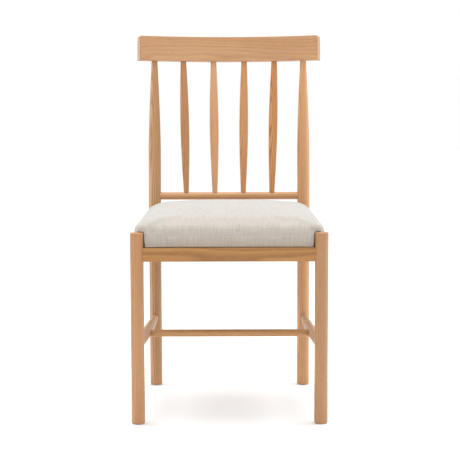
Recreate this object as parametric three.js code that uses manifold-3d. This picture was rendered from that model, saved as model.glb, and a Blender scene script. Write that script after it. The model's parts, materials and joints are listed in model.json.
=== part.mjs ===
// Spindle-back dining chair in oak: four round legs, a bent crest rail over four turned spindles,
// turned stretchers, and an upholstered seat pad screwed to corner blocks inside the seat rails.
// Millimetres, +Z up. The origin is on the floor under the middle of the chair, and -Y is its front.
// Left and right are those of someone who stands in front of the chair and looks at it.
import * as THREE from "three";
import { mergeVertices } from "three/addons/utils/BufferGeometryUtils.js";
import Module from "manifold-3d";

const wasm = await Module();
wasm.setup();
const { degToRad, lerp, clamp } = THREE.MathUtils;

// ---- driving dimensions -------------------------------------------------------------------
const CHAIR_HEIGHT = 901; // to the top of the crest rail's ends, before their edges are eased
const GAP = 0.3; // left between pieces that touch
const EASED = 1.8; // radius of an eased edge
const FOOT_EASED = 2.8; // radius of the edge round a leg's foot

const LEG_RADIUS = 15.75;
const FRONT_LEG_X = 213.5; // leg axes, either side of the middle
const REAR_LEG_X = 190.5;
const LEG_DEPTH = 410; // front leg axes to rear leg axes
const FRONT_LEG_TOP = 450;

const RAKE = degToRad(7); // the back's lean above the seat
const BEND_START = 420; // height where the rear posts start to bend
const BEND_RADIUS = 600;
const POST_TAPER_START = 605; // length along the post
const POST_TOP_RADIUS = 7.5;

const RAIL_TOP = 416;
const RAIL_HEIGHT = 33;
const RAIL_THICKNESS = 20;
const RAIL_FACE = 8; // outer face, outward of the line between two leg axes
const RAIL_START = 12.8; // from the leg's axis, so two rails' inner edges don't meet behind the leg

const DOWEL = { radius: 3, inLeg: 11.5, inRail: 18, spread: 7, stagger: 3.5, clearance: 0.25 };

const STRETCHER_Z = 178.5;
const SIDE_STRETCHER = { endRadius: 7.75, midRadius: 12.5, tenonRadius: 6 };
const CROSS_STRETCHER = { radius: 9, tenonRadius: 4.5, fromFront: 0.455 };
const TENON_DEPTH = 11;

const LOWER_RAIL = { radius: 9.5, z: 492, tenonRadius: 6 };

const CREST = { width: 468.6, height: 63, thickness: 26, cornerRadius: 5, socketDepth: 20 };
const CREST_END_ANGLE = degToRad(18.6); // from the middle to each end, about the bend's centre
const CREST_RADIUS = CREST.width / 2 / Math.sin(CREST_END_ANGLE) - CREST.thickness / 2; // of its middle line

const SPINDLE = { bottomRadius: 6.5, topRadius: 7.2, swell: 4.4, inRail: 13, inCrest: 18 };
const SPINDLES = [
  { bottomX: -109.7, topX: -117 },
  { bottomX: -36.5, topX: -39.5 },
  { bottomX: 36.5, topX: 39.5 },
  { bottomX: 109.7, topX: 117 },
];

const GLIDE = { radius: 10.5, thickness: 1.2, edge: 0.5, pinRadius: 2, pinLength: 14 };
const LEG_BOTTOM = GLIDE.thickness + GAP;

const BLOCK = { reach: 48, nose: 8, bottom: 391, height: 20 };
const SCREW = { radius: 1.9, headRadius: 3.8, headHeight: 2.4, clearance: 0.3 };
const BLOCK_SCREW = { length: 27, along: 34, seat: 14 };
const SEAT_SCREW = { length: 35, along: 21 };

const FABRIC = 1.6; // seat cover's thickness
const BOARD = { thickness: 12, inset: 8 }; // the foam wraps its edge
const PAD_BOTTOM = RAIL_TOP + GAP;
const PAD_SHOULDER = 442; // height where the pad's sides start to round over
const PAD_ROUNDING = { inset: 76, top: 488 };
const PAD_CROWN = 500; // height of the middle of the seat
const PAD_CORNER = { radius: 46, growth: 0.52, steps: 7 }; // seen from above, and growth per inset
const PAD_NOTCH = LEG_RADIUS + 3; // radius of the pad's cut-outs round the legs
const PAD_OVER_LEG = 3; // room above a front leg, where its cut-out closes
const PAD_FRONT = -11; // from the front leg axes
const PAD_REAR = 5; // from the rear leg axes
const PAD_SIDE = { front: 8, rear: 16 }; // outward of the legs' axes
const HEM = 42; // how far the cover is turned in under the board
const DUST_COVER = { thickness: 0.8, inset: 32 };

// ---- materials ----------------------------------------------------------------------------
const material = (color, roughness, metalness = 0) =>
  new THREE.MeshStandardMaterial({ color, roughness, metalness });
const oak = material(0xd0a37a, 0.5);
const beech = material(0xd9b88f, 0.6);
const plywood = material(0xc9a878, 0.7);
const foam = material(0xe8dfc0, 0.95);
const linen = material(0xe2dcd4, 0.9);
const cambric = material(0x1d1d1f, 0.95);
const steel = material(0xb9bbbe, 0.35, 1);
const nylon = material(0xe9e9e6, 0.5);

// ---- solids -------------------------------------------------------------------------------
const UP = new THREE.Vector3(0, 0, 1);

function toSolid(geometry) {
  const flat = geometry.index ? geometry.toNonIndexed() : geometry;
  const bare = new THREE.BufferGeometry().setAttribute("position", flat.getAttribute("position").clone());
  const merged = mergeVertices(bare, 1e-4);
  const vertProperties = merged.getAttribute("position").array;
  const triVerts = new Uint32Array(merged.index.array);
  return new wasm.Manifold(new wasm.Mesh({ numProp: 3, vertProperties, triVerts }));
}

function toGeometry(solid) {
  const { vertProperties, triVerts } = solid.getMesh();
  return new THREE.BufferGeometry()
    .setAttribute("position", new THREE.BufferAttribute(vertProperties, 3))
    .setIndex(new THREE.BufferAttribute(triVerts, 1));
}

// The tool's solid, as the mesh's own frame sees it.
function inFrameOf(mesh, tool) {
  mesh.updateWorldMatrix(true, false);
  tool.updateWorldMatrix(true, false);
  const toMesh = mesh.matrixWorld.clone().invert().multiply(tool.matrixWorld);
  return toSolid(tool.geometry.clone().applyMatrix4(toMesh));
}

function carve(mesh, ...tools) {
  const rest = tools.reduce((solid, tool) => solid.subtract(inFrameOf(mesh, tool)), toSolid(mesh.geometry));
  mesh.geometry = toGeometry(rest);
}

function join(mesh, ...tools) {
  const whole = tools.reduce((solid, tool) => solid.add(inFrameOf(mesh, tool)), toSolid(mesh.geometry));
  mesh.geometry = toGeometry(whole);
}

// A solid turned about +Z from [radius, height] pairs, from the bottom of the axis to its top.
function turned(profile, segments) {
  const points = profile.map(([radius, z]) => new THREE.Vector2(radius, z));
  return new THREE.LatheGeometry(points, segments).rotateX(Math.PI / 2);
}

function cylinder(radius, from, to, segments = 10) {
  return turned([[0, from], [radius, from], [radius, to], [0, to]], segments);
}

// Even steps from a to b, both included.
const range = (a, b, steps) => Array.from({ length: steps + 1 }, (_, i) => lerp(a, b, i / steps));

// The rounded corner between a round bar's flat end and its side.
function easedEnd(radius, end, inward, ease) {
  return range(0, Math.PI / 2, 2).map((angle) => [
    radius - ease * (1 - Math.sin(angle)),
    end + inward * ease * (1 - Math.cos(angle)),
  ]);
}

// A flat board's section, with eased edges, centred on the origin.
function boardSection(width, height) {
  const [x, y] = [width / 2 - EASED, height / 2 - EASED];
  const shape = new THREE.Shape();
  shape.absarc(x, -y, EASED, -Math.PI / 2, 0);
  shape.absarc(x, y, EASED, 0, Math.PI / 2);
  shape.absarc(-x, y, EASED, Math.PI / 2, Math.PI);
  shape.absarc(-x, -y, EASED, Math.PI, 1.5 * Math.PI);
  return shape;
}

const chair = new THREE.Group();

function piece(name, geometry, look) {
  const mesh = new THREE.Mesh(geometry, look);
  mesh.name = name;
  chair.add(mesh);
  return mesh;
}

// Stands a mesh that was made along +Z on a point, along a direction.
function aim(mesh, from, direction) {
  mesh.position.copy(from);
  mesh.quaternion.setFromUnitVectors(UP, direction.clone().normalize());
  return mesh;
}

// ---- legs and posts -----------------------------------------------------------------------
function frontLegGeometry(grow = 0) {
  const radius = LEG_RADIUS + grow;
  const [bottom, top] = [LEG_BOTTOM - grow, FRONT_LEG_TOP + grow];
  const lowerEdge = easedEnd(radius, bottom, 1, FOOT_EASED);
  const upperEdge = easedEnd(radius, top, -1, EASED).reverse();
  return turned([[0, bottom], ...lowerEdge, ...upperEdge, [0, top]], 24);
}

// The post's centre line: straight up to the bend, then an arc, then straight along the rake.
function postPoint(length) {
  const angle = clamp((length - BEND_START) / BEND_RADIUS, 0, RAKE);
  const beyond = Math.max(0, length - BEND_START - BEND_RADIUS * RAKE);
  const y = BEND_RADIUS * (1 - Math.cos(angle)) + beyond * Math.sin(RAKE);
  const z = Math.min(length, BEND_START) + BEND_RADIUS * Math.sin(angle) + beyond * Math.cos(RAKE);
  return { angle, y, z };
}

// The length along the post's centre line at a height.
function postLength(z) {
  const bendTop = BEND_START + BEND_RADIUS * Math.sin(RAKE);
  if (z < BEND_START) return z;
  if (z < bendTop) return BEND_START + BEND_RADIUS * Math.asin((z - BEND_START) / BEND_RADIUS);
  return BEND_START + BEND_RADIUS * RAKE + (z - bendTop) / Math.cos(RAKE);
}

// The crest rail leans with the posts, and its middle line passes over their axes.
const crestLine = (x) => CREST_RADIUS * (Math.cos(Math.asin(x / CREST_RADIUS)) - 1);
const crestFront = (CREST_RADIUS - CREST.thickness / 2) * Math.cos(CREST_END_ANGLE) - CREST_RADIUS;
const crestZ = CHAIR_HEIGHT + crestFront * Math.sin(RAKE) - (CREST.height / 2) * Math.cos(RAKE);
const postInCrest = postLength(crestZ - crestLine(REAR_LEG_X) * Math.sin(RAKE));
const crestY = LEG_DEPTH + postPoint(postInCrest).y - crestLine(REAR_LEG_X) * Math.cos(RAKE);
const postShoulder = postInCrest - CREST.height / 2; // length at the crest rail's underside

function postRadius(length) {
  const share = clamp((length - POST_TAPER_START) / (postShoulder - POST_TAPER_START), 0, 1);
  return LEG_RADIUS - (LEG_RADIUS - POST_TOP_RADIUS) * share ** 1.45;
}

function postGeometry(grow = 0) {
  const bottom = LEG_BOTTOM - grow;
  const end = postShoulder + CREST.socketDepth + grow;
  const bend = range(BEND_START, BEND_START + BEND_RADIUS * RAKE, 3);
  const taper = range(POST_TAPER_START, postShoulder, 7);
  const geometry = turned([
    [0, bottom],
    ...easedEnd(LEG_RADIUS + grow, bottom, 1, FOOT_EASED),
    ...[...bend, ...taper].map((length) => [postRadius(length) + grow, length]),
    [POST_TOP_RADIUS + grow, end],
    [0, end],
  ], 20);
  const position = geometry.getAttribute("position");
  for (let i = 0; i < position.count; i++) {
    const { angle, y, z } = postPoint(position.getZ(i));
    const across = position.getY(i);
    position.setXYZ(i, position.getX(i), y + across * Math.cos(angle), z - across * Math.sin(angle));
  }
  return geometry;
}

// A piece that others join, with a grown copy of it that shapes what butts against it.
function host(name, geometryOf, look, placeIt) {
  const mesh = piece(name, geometryOf(0), look);
  const grown = new THREE.Mesh(geometryOf(GAP));
  placeIt(mesh);
  placeIt(grown);
  return { mesh, grown };
}

// The four corners, counterclockwise from above, so each rail's inner side is on its left.
const CORNERS = [
  { name: "front_left", legName: "front_leg_left", geometryOf: frontLegGeometry, x: -FRONT_LEG_X, y: 0 },
  { name: "front_right", legName: "front_leg_right", geometryOf: frontLegGeometry, x: FRONT_LEG_X, y: 0 },
  { name: "rear_right", legName: "rear_post_right", geometryOf: postGeometry, x: REAR_LEG_X, y: LEG_DEPTH },
  { name: "rear_left", legName: "rear_post_left", geometryOf: postGeometry, x: -REAR_LEG_X, y: LEG_DEPTH },
].map(({ name, legName, geometryOf, x, y }) => {
  const leg = host(legName, geometryOf, oak, (mesh) => mesh.position.set(x, y, 0));
  return { name, ...leg, axis: new THREE.Vector2(x, y) };
});
const [frontLeft, frontRight, rearRight, rearLeft] = CORNERS;

function glideGeometry(grow = 0) {
  const { radius, thickness, edge, pinRadius, pinLength } = GLIDE;
  const pinTop = thickness + pinLength + grow;
  return turned([
    [0, 0], [radius - edge, 0], [radius, edge], [radius, thickness],
    [pinRadius + grow, thickness], [pinRadius + grow, pinTop], [0, pinTop],
  ], 12);
}

for (const { name, mesh, axis } of CORNERS) {
  const glide = host(`glide_${name}`, glideGeometry, nylon, (it) => it.position.set(axis.x, axis.y, 0));
  carve(mesh, glide.grown);
}

// ---- seat rails and their dowels --------------------------------------------------------------
// A direction along one rail, the one that is inward from it, and a point given along both.
function railFrame(start, end) {
  const along = end.axis.clone().sub(start.axis).normalize();
  const inward = new THREE.Vector2(-along.y, along.x);
  const point = (s, t, z) => {
    const flat = start.axis.clone().addScaledVector(along, s).addScaledVector(inward, t);
    return new THREE.Vector3(flat.x, flat.y, z);
  };
  return { along, inward, length: end.axis.distanceTo(start.axis), point };
}

function addDowel(name, rail, leg, from, direction) {
  const { radius, clearance } = DOWEL;
  const length = DOWEL.inLeg + DOWEL.inRail;
  aim(piece(name, cylinder(radius, 0, length), beech), from, direction);
  const hole = new THREE.Mesh(cylinder(radius + clearance, -clearance, length + clearance));
  aim(hole, from, direction);
  carve(rail, hole);
  carve(leg, hole);
}

function addSeatRail(name, start, end, dowelShift) {
  const { along, inward, length, point } = railFrame(start, end);
  const middle = RAIL_THICKNESS / 2 - RAIL_FACE;
  const section = boardSection(RAIL_THICKNESS, RAIL_HEIGHT);
  const depth = length - 2 * RAIL_START;
  const geometry = new THREE.ExtrudeGeometry(section, { depth, bevelEnabled: false, curveSegments: 2 });
  const rail = piece(name, geometry, oak);
  const railZ = RAIL_TOP - RAIL_HEIGHT / 2;
  const along3 = new THREE.Vector3(along.x, along.y, 0);
  const inward3 = new THREE.Vector3(inward.x, inward.y, 0);
  rail.quaternion.setFromRotationMatrix(new THREE.Matrix4().makeBasis(inward3, UP, along3));
  rail.position.copy(point(RAIL_START, middle, railZ));
  carve(rail, start.grown, end.grown);

  const inLegStart = LEG_RADIUS - DOWEL.inLeg;
  for (const [level, z] of [["upper", dowelShift + DOWEL.spread], ["lower", dowelShift - DOWEL.spread]]) {
    const fromStart = point(inLegStart, middle, railZ + z);
    const fromEnd = point(length - inLegStart, middle, railZ + z);
    addDowel(`dowel_${name}_${start.name}_${level}`, rail, start.mesh, fromStart, along3);
    addDowel(`dowel_${name}_${end.name}_${level}`, rail, end.mesh, fromEnd, along3.clone().negate());
  }
  return rail;
}

// The front and rear rails' dowels sit higher than the side rails', so they don't meet in the legs.
const frontRail = addSeatRail("front_rail", frontLeft, frontRight, DOWEL.stagger);
const rightRail = addSeatRail("side_rail_right", frontRight, rearRight, -DOWEL.stagger);
const rearRail = addSeatRail("rear_rail", rearRight, rearLeft, DOWEL.stagger);
const leftRail = addSeatRail("side_rail_left", rearLeft, frontLeft, -DOWEL.stagger);

// ---- stretchers and the lower back rail -------------------------------------------------------
// A turned bar between two hosts, with scribed shoulders and a round tenon in each of them.
function addRoundRail(name, radiusAt, rings, tenonRadius, hosts, from, to, depth = TENON_DEPTH) {
  const span = to.clone().sub(from);
  const length = span.length();
  const makeBar = (grow) => {
    const profile = range(0, length, rings).map((z) => [radiusAt(z / length) + grow, z]);
    return turned([[0, 0], ...profile, [0, length]], 16);
  };
  const bar = host(name, makeBar, oak, (mesh) => aim(mesh, from, span));
  const tenon = (grow) => {
    const start = hosts[0].radius - depth - grow;
    const end = length - hosts[1].radius + depth + grow;
    return aim(new THREE.Mesh(cylinder(tenonRadius + grow, start, end)), from, span);
  };
  carve(bar.mesh, ...hosts.map(({ grown }) => grown));
  join(bar.mesh, tenon(0));
  hosts.forEach(({ mesh }) => carve(mesh, tenon(GAP)));
  return bar;
}

const leg = (corner) => ({ mesh: corner.mesh, grown: corner.grown, radius: LEG_RADIUS });
const onAxis = ({ axis }, z) => new THREE.Vector3(axis.x, axis.y, z);

const sideRadius = (share) =>
  lerp(SIDE_STRETCHER.endRadius, SIDE_STRETCHER.midRadius, Math.sin(Math.PI * share));

function addSideStretcher(name, front, rear) {
  const [from, to] = [onAxis(front, STRETCHER_Z), onAxis(rear, STRETCHER_Z)];
  const hosts = [leg(front), leg(rear)];
  const bar = addRoundRail(name, sideRadius, 8, SIDE_STRETCHER.tenonRadius, hosts, from, to);
  const { fromFront } = CROSS_STRETCHER;
  return { ...bar, radius: sideRadius(fromFront), middle: from.clone().lerp(to, fromFront) };
}

const leftStretcher = addSideStretcher("side_stretcher_left", frontLeft, rearLeft);
const rightStretcher = addSideStretcher("side_stretcher_right", frontRight, rearRight);
addRoundRail(
  "cross_stretcher", () => CROSS_STRETCHER.radius, 1, CROSS_STRETCHER.tenonRadius,
  [leftStretcher, rightStretcher], leftStretcher.middle, rightStretcher.middle,
);

const postAt = ({ axis }, z) => new THREE.Vector3(axis.x, axis.y + postPoint(postLength(z)).y, z);
const lowerRailY = postAt(rearLeft, LOWER_RAIL.z).y;
const lowerRail = addRoundRail(
  "lower_back_rail", () => LOWER_RAIL.radius, 1, LOWER_RAIL.tenonRadius,
  [leg(rearLeft), leg(rearRight)], postAt(rearLeft, LOWER_RAIL.z), postAt(rearRight, LOWER_RAIL.z),
);

// ---- crest rail and spindles ----------------------------------------------------------------
// Everything outside the rounded upper corner of one end of the crest rail.
function crestCornerCutter(side) {
  const { height, thickness, cornerRadius: radius } = CREST;
  const [top, margin] = [height / 2, 2];
  const shape = new THREE.Shape()
    .moveTo(-radius, top + margin)
    .lineTo(-radius, top)
    .absarc(-radius, top - radius, radius, Math.PI / 2, 0, true)
    .lineTo(margin, top - radius)
    .lineTo(margin, top + margin);
  const depth = thickness + 2 * margin;
  const geometry = new THREE.ExtrudeGeometry(shape, { depth, bevelEnabled: false, curveSegments: 5 });
  const cutter = new THREE.Mesh(geometry.translate(0, 0, -depth / 2));
  const angle = side * CREST_END_ANGLE;
  const outward = new THREE.Vector3(side * Math.cos(angle), -side * Math.sin(angle), 0);
  const basis = new THREE.Matrix4().makeBasis(outward, UP, outward.clone().cross(UP));
  cutter.quaternion.setFromRotationMatrix(basis);
  cutter.position.set(CREST_RADIUS * Math.sin(angle), CREST_RADIUS * (Math.cos(angle) - 1), 0);
  return cutter;
}

// A straight board, bent round the arc: its length becomes the angle, its thickness the radius.
function crestGeometry() {
  const section = boardSection(CREST.thickness, CREST.height);
  const options = { depth: 1, steps: 14, bevelEnabled: false, curveSegments: 2 };
  const geometry = new THREE.ExtrudeGeometry(section, options);
  const position = geometry.getAttribute("position");
  for (let i = 0; i < position.count; i++) {
    const angle = lerp(-CREST_END_ANGLE, CREST_END_ANGLE, position.getZ(i));
    const radius = CREST_RADIUS + position.getX(i);
    position.setXYZ(i, radius * Math.sin(angle), radius * Math.cos(angle) - CREST_RADIUS, position.getY(i));
  }
  return geometry;
}

const crest = piece("crest_rail", crestGeometry(), oak);
carve(crest, crestCornerCutter(-1), crestCornerCutter(1));
crest.position.set(0, crestY, crestZ);
crest.rotation.x = -RAKE;
carve(crest, rearLeft.grown, rearRight.grown);

function addSpindle(name, { bottomX, topX }) {
  const bottom = new THREE.Vector3(bottomX, lowerRailY, LOWER_RAIL.z + LOWER_RAIL.radius);
  const top = crest.localToWorld(new THREE.Vector3(topX, crestLine(topX), -CREST.height / 2));
  const span = top.clone().sub(bottom);
  const length = span.length();
  const { bottomRadius, topRadius, swell, inRail, inCrest } = SPINDLE;
  const geometryOf = (grow) => {
    const body = range(0, 1, 8).map((share) => {
      const radius = lerp(bottomRadius, topRadius, share) + swell * Math.sin(Math.PI * share);
      return [radius + grow, share * length];
    });
    const [low, high] = [-inRail - grow, length + inCrest + grow];
    return turned([[0, low], [bottomRadius + grow, low], ...body, [topRadius + grow, high], [0, high]], 12);
  };
  const spindle = host(name, geometryOf, oak, (mesh) => aim(mesh, bottom, span));
  carve(lowerRail.mesh, spindle.grown);
  carve(crest, spindle.grown);
}

SPINDLES.forEach((places, i) => addSpindle(`spindle_${i + 1}`, places));

// ---- seat pad -------------------------------------------------------------------------------
const plan = (x, y) => new THREE.Vector2(x, y);

// An arc that rounds a corner, between unit directions to the points before and after it.
function fillet(corner, before, after, radius) {
  const half = Math.acos(before.dot(after)) / 2;
  const bisector = before.clone().add(after).normalize();
  const centre = corner.clone().addScaledVector(bisector, radius / Math.sin(half));
  const start = corner.clone().addScaledVector(before, radius / Math.tan(half));
  const turns = range(0, Math.PI - 2 * half, PAD_CORNER.steps);
  return turns.map((angle) => start.clone().rotateAround(centre, angle));
}

// The pad's outline in plan, moved inward by an inset, counterclockwise from its front's middle.
function padOutline(inset) {
  const [frontAxis, rearAxis] = [frontRight.axis, rearRight.axis];
  const front = plan(frontAxis.x + PAD_SIDE.front - inset, frontAxis.y);
  const rear = plan(rearAxis.x + PAD_SIDE.rear - inset, rearAxis.y);
  const along = rear.clone().sub(front).normalize();
  const onSide = (y) => front.clone().addScaledVector(along, (y - front.y) / along.y);
  const radius = PAD_CORNER.radius + PAD_CORNER.growth * inset;
  const frontCorner = onSide(frontAxis.y + PAD_FRONT + inset);
  const rearCorner = onSide(rearAxis.y + PAD_REAR - inset);
  const frontArc = fillet(frontCorner, plan(-1, 0), along, radius);
  const rearArc = fillet(rearCorner, along.clone().negate(), plan(-1, 0), radius);
  const line = (from, to, steps) =>
    range(0, 1, steps).slice(1, -1).map((share) => from.clone().lerp(to, share));

  const right = [
    plan(0, frontCorner.y), ...line(plan(0, frontCorner.y), frontArc[0], 3), ...frontArc,
    ...line(frontArc.at(-1), rearArc[0], 4), ...rearArc,
    ...line(rearArc.at(-1), plan(0, rearCorner.y), 3), plan(0, rearCorner.y),
  ];
  const left = right.slice(1, -1).reverse().map(({ x, y }) => plan(-x, y));
  return [...right, ...left];
}

// A closed solid through rings of equally many points, closed by a fan below and one above.
function loft(rings, bottomCentre, topCentre) {
  const count = rings[0].length;
  const points = [...rings.flat(), bottomCentre, topCentre];
  const [bottomIndex, topIndex] = [points.length - 2, points.length - 1];
  const lastRing = (rings.length - 1) * count;
  const triangles = [];
  for (let i = 0; i < count; i++) {
    const next = (i + 1) % count;
    for (let low = 0; low < lastRing; low += count) {
      const high = low + count;
      triangles.push(low + i, low + next, high + next, low + i, high + next, high + i);
    }
    triangles.push(bottomIndex, next, i, topIndex, lastRing + i, lastRing + next);
  }
  return new THREE.BufferGeometry().setFromPoints(points).setIndex(triangles);
}

const PAD_CENTRE = new THREE.Vector2(0, LEG_DEPTH / 2);
const ringAt = (outline, z) => outline.map(({ x, y }) => new THREE.Vector3(x, y, z));

// The pad's crowned shape, made smaller by a skin on every side but the bottom.
function padGeometry(bottom, skin) {
  const rounding = range(0, Math.PI / 2, 4).map((angle) => {
    const inset = skin + PAD_ROUNDING.inset * (1 - Math.cos(angle));
    return ringAt(padOutline(inset), lerp(PAD_SHOULDER, PAD_ROUNDING.top, Math.sin(angle)) - skin);
  });
  const edge = padOutline(skin + PAD_ROUNDING.inset);
  const dome = [0.3, 0.6].map((share) => {
    const z = lerp(PAD_ROUNDING.top, PAD_CROWN, 1 - (1 - share) ** 2) - skin;
    return ringAt(edge.map((point) => point.clone().lerp(PAD_CENTRE, share)), z);
  });
  const centre = (z) => new THREE.Vector3(PAD_CENTRE.x, PAD_CENTRE.y, z);
  const rings = [ringAt(padOutline(skin), bottom), ...rounding, ...dome];
  return loft(rings, centre(bottom), centre(PAD_CROWN - skin));
}

// A flat sheet or board of the pad's outline.
function padSheet(inset, bottom, thickness) {
  const shape = new THREE.Shape(padOutline(inset));
  return new THREE.ExtrudeGeometry(shape, { depth: thickness, bevelEnabled: false }).translate(0, 0, bottom);
}

// The shape with a round cut-out for each leg; the front ones close above the legs.
function notched(geometry, skin) {
  const shape = new THREE.Mesh(geometry);
  for (const { axis } of CORNERS) {
    const top = axis.y > 0 ? PAD_CROWN : FRONT_LEG_TOP + PAD_OVER_LEG + skin;
    const column = new THREE.Mesh(cylinder(PAD_NOTCH + skin, 0, top, 24));
    column.position.set(axis.x, axis.y, 0);
    carve(shape, column);
  }
  return shape.geometry;
}

const foamInset = FABRIC + GAP;
const boardBottom = PAD_BOTTOM + FABRIC + GAP;
const boardShape = (inset, thickness) => notched(padSheet(inset, boardBottom, thickness), inset);
const board = piece("seat_board", boardShape(BOARD.inset, BOARD.thickness), plywood);
const filling = piece("seat_foam", notched(padGeometry(boardBottom, foamInset), foamInset), foam);
carve(filling, new THREE.Mesh(boardShape(BOARD.inset - GAP, BOARD.thickness + GAP)));

const cover = piece("seat_cover", notched(padGeometry(PAD_BOTTOM, 0), 0), linen);
const coverInside = new THREE.Mesh(notched(padGeometry(PAD_BOTTOM + FABRIC, FABRIC), FABRIC));
const underOpening = new THREE.Mesh(notched(padSheet(HEM, PAD_BOTTOM - 1, FABRIC + 2), HEM));
carve(cover, coverInside, underOpening);

// The dust cover closes the opening from below, inside the seat rails.
const dustBottom = PAD_BOTTOM - GAP - DUST_COVER.thickness;
const dustShape = padSheet(DUST_COVER.inset, dustBottom, DUST_COVER.thickness);
const dustCover = piece("dust_cover", notched(dustShape, DUST_COVER.inset), cambric);

// ---- corner blocks and screws -----------------------------------------------------------------
function screwGeometry(length) {
  const { radius, headRadius, headHeight } = SCREW;
  return turned([
    [0, -headHeight], [headRadius - 1, -headHeight], [headRadius, -headHeight / 2], [headRadius, 0],
    [radius, 0], [radius, length - radius], [0, length],
  ], 8);
}

// A screw whose head rests at a point, and its clearance in each piece that it passes.
function addScrew(name, length, from, direction, pieces) {
  aim(piece(name, screwGeometry(length), steel), from, direction);
  const { radius, headRadius, headHeight, clearance } = SCREW;
  const shank = cylinder(radius + clearance, -clearance, length + clearance);
  const pocket = cylinder(headRadius + clearance, -headHeight - BLOCK.reach, GAP);
  for (const tool of [shank, pocket]) {
    const hole = aim(new THREE.Mesh(tool), from, direction);
    pieces.forEach((mesh) => carve(mesh, hole));
  }
}

// A block glued into the corner between the rail that ends at a leg and the one that starts there.
function addCornerBlock(corner, railBefore, before, railAfter, after) {
  const a = railFrame(corner, after).along;
  const b = railFrame(before, corner).along.negate();
  const inset = (RAIL_THICKNESS - RAIL_FACE + GAP) / a.cross(b);
  const flat = (s, t) => corner.axis.clone().addScaledVector(a, inset + s).addScaledVector(b, inset + t);
  const at = (s, t, z) => new THREE.Vector3(flat(s, t).x, flat(s, t).y, z);
  const { reach, nose, bottom, height } = BLOCK;
  const outline = [flat(0, 0), flat(reach, 0), flat(reach, nose), flat(nose, reach), flat(0, reach)];
  const options = { depth: height, bevelEnabled: false };
  const geometry = new THREE.ExtrudeGeometry(new THREE.Shape(outline), options);
  const block = piece(`corner_block_${corner.name}`, geometry.translate(0, 0, bottom), beech);

  const { length, along, seat } = BLOCK_SCREW;
  const middle = bottom + height / 2;
  const towards = (direction) => new THREE.Vector3(-direction.x, -direction.y, 0);
  const normalToAfter = b.clone().addScaledVector(a, -a.dot(b)).normalize();
  const normalToBefore = a.clone().addScaledVector(b, -a.dot(b)).normalize();
  const [onAfter, onBefore] = [at(along, seat, middle), at(seat, along, middle)];
  const [intoAfter, intoBefore] = [towards(normalToAfter), towards(normalToBefore)];
  addScrew(`screw_${railAfter.name}_${corner.name}`, length, onAfter, intoAfter, [block, railAfter]);
  addScrew(`screw_${railBefore.name}_${corner.name}`, length, onBefore, intoBefore, [block, railBefore]);
  const under = at(SEAT_SCREW.along, SEAT_SCREW.along, bottom - GAP);
  addScrew(`seat_screw_${corner.name}`, SEAT_SCREW.length, under, UP, [block, board, cover, dustCover]);
}

addCornerBlock(frontLeft, leftRail, rearLeft, frontRail, frontRight);
addCornerBlock(frontRight, frontRail, frontLeft, rightRail, rearRight);
addCornerBlock(rearRight, rightRail, frontRight, rearRail, rearLeft);
addCornerBlock(rearLeft, rearRail, rearRight, leftRail, frontLeft);

// The model is drawn from the front leg axes, then moved so that its bounding box is centred.
const box = new THREE.Box3().setFromObject(chair, true);
chair.position.y = -(box.min.y + box.max.y) / 2;

export default chair;
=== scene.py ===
"""Spindle-back oak dining chair: fine wood pieces, an upholstered seat pad and a plain studio.

Metres, +Z up, the chair's front towards -Y. Left and right are those of someone facing the chair.
"""
import json
from math import asin, cos, pi, radians, sin, sqrt, tan

import bmesh
import bpy
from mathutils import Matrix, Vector, noise
from mathutils.bvhtree import BVHTree


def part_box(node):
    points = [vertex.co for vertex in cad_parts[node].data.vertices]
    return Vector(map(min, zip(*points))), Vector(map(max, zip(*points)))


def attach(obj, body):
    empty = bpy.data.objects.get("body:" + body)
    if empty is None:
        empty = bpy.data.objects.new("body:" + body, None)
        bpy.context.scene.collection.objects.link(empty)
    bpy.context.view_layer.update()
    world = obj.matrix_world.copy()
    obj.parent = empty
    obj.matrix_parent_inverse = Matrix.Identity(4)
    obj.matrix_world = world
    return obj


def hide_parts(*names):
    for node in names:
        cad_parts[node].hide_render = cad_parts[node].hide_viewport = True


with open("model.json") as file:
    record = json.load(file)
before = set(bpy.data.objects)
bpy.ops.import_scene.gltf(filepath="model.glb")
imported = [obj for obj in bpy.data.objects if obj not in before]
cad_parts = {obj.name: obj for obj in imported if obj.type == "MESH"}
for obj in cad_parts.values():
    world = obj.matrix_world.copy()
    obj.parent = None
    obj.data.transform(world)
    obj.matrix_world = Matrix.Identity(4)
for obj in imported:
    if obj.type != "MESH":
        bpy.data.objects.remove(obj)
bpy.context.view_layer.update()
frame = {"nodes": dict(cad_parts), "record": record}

# ---- places, from the frame -------------------------------------------------------------------
MM = 0.001
LEFT, RIGHT = -1, 1
SIDE_NAMES = {LEFT: "left", RIGHT: "right"}
UP = Vector((0, 0, 1))


def middle(node):
    low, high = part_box(node)
    return (low + high) / 2


FRONT_LEG = middle("front_leg_right")
LEG_RADIUS = (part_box("front_leg_right")[1].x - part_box("front_leg_right")[0].x) / 2
LEG_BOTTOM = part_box("front_leg_right")[0].z
FRONT_LEG_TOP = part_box("front_leg_right")[1].z
FRONT_Y = FRONT_LEG.y
REAR_X = middle("rear_post_right").x
REAR_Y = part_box("rear_post_right")[0].y + LEG_RADIUS
RAIL_LOW, RAIL_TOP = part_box("front_rail")[0].z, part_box("front_rail")[1].z
STRETCHER_Z = middle("side_stretcher_right").z
CROSS_Y = middle("cross_stretcher").y
LOWER_RAIL = middle("lower_back_rail")
CHAIR_TOP = 901 * MM

# ---- shapes that the boxes don't say ------------------------------------------------------------
RAKE = radians(7)
BEND_START = 420 * MM
BEND_RADIUS = 600 * MM
POST_TAPER_START = 605 * MM
POST_TOP_RADIUS = 7.5 * MM
POST_TAPER_POWER = 1.45
POST_IN_SOCKET = 6 * MM  # the hidden length of a post in the crest rail

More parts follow.
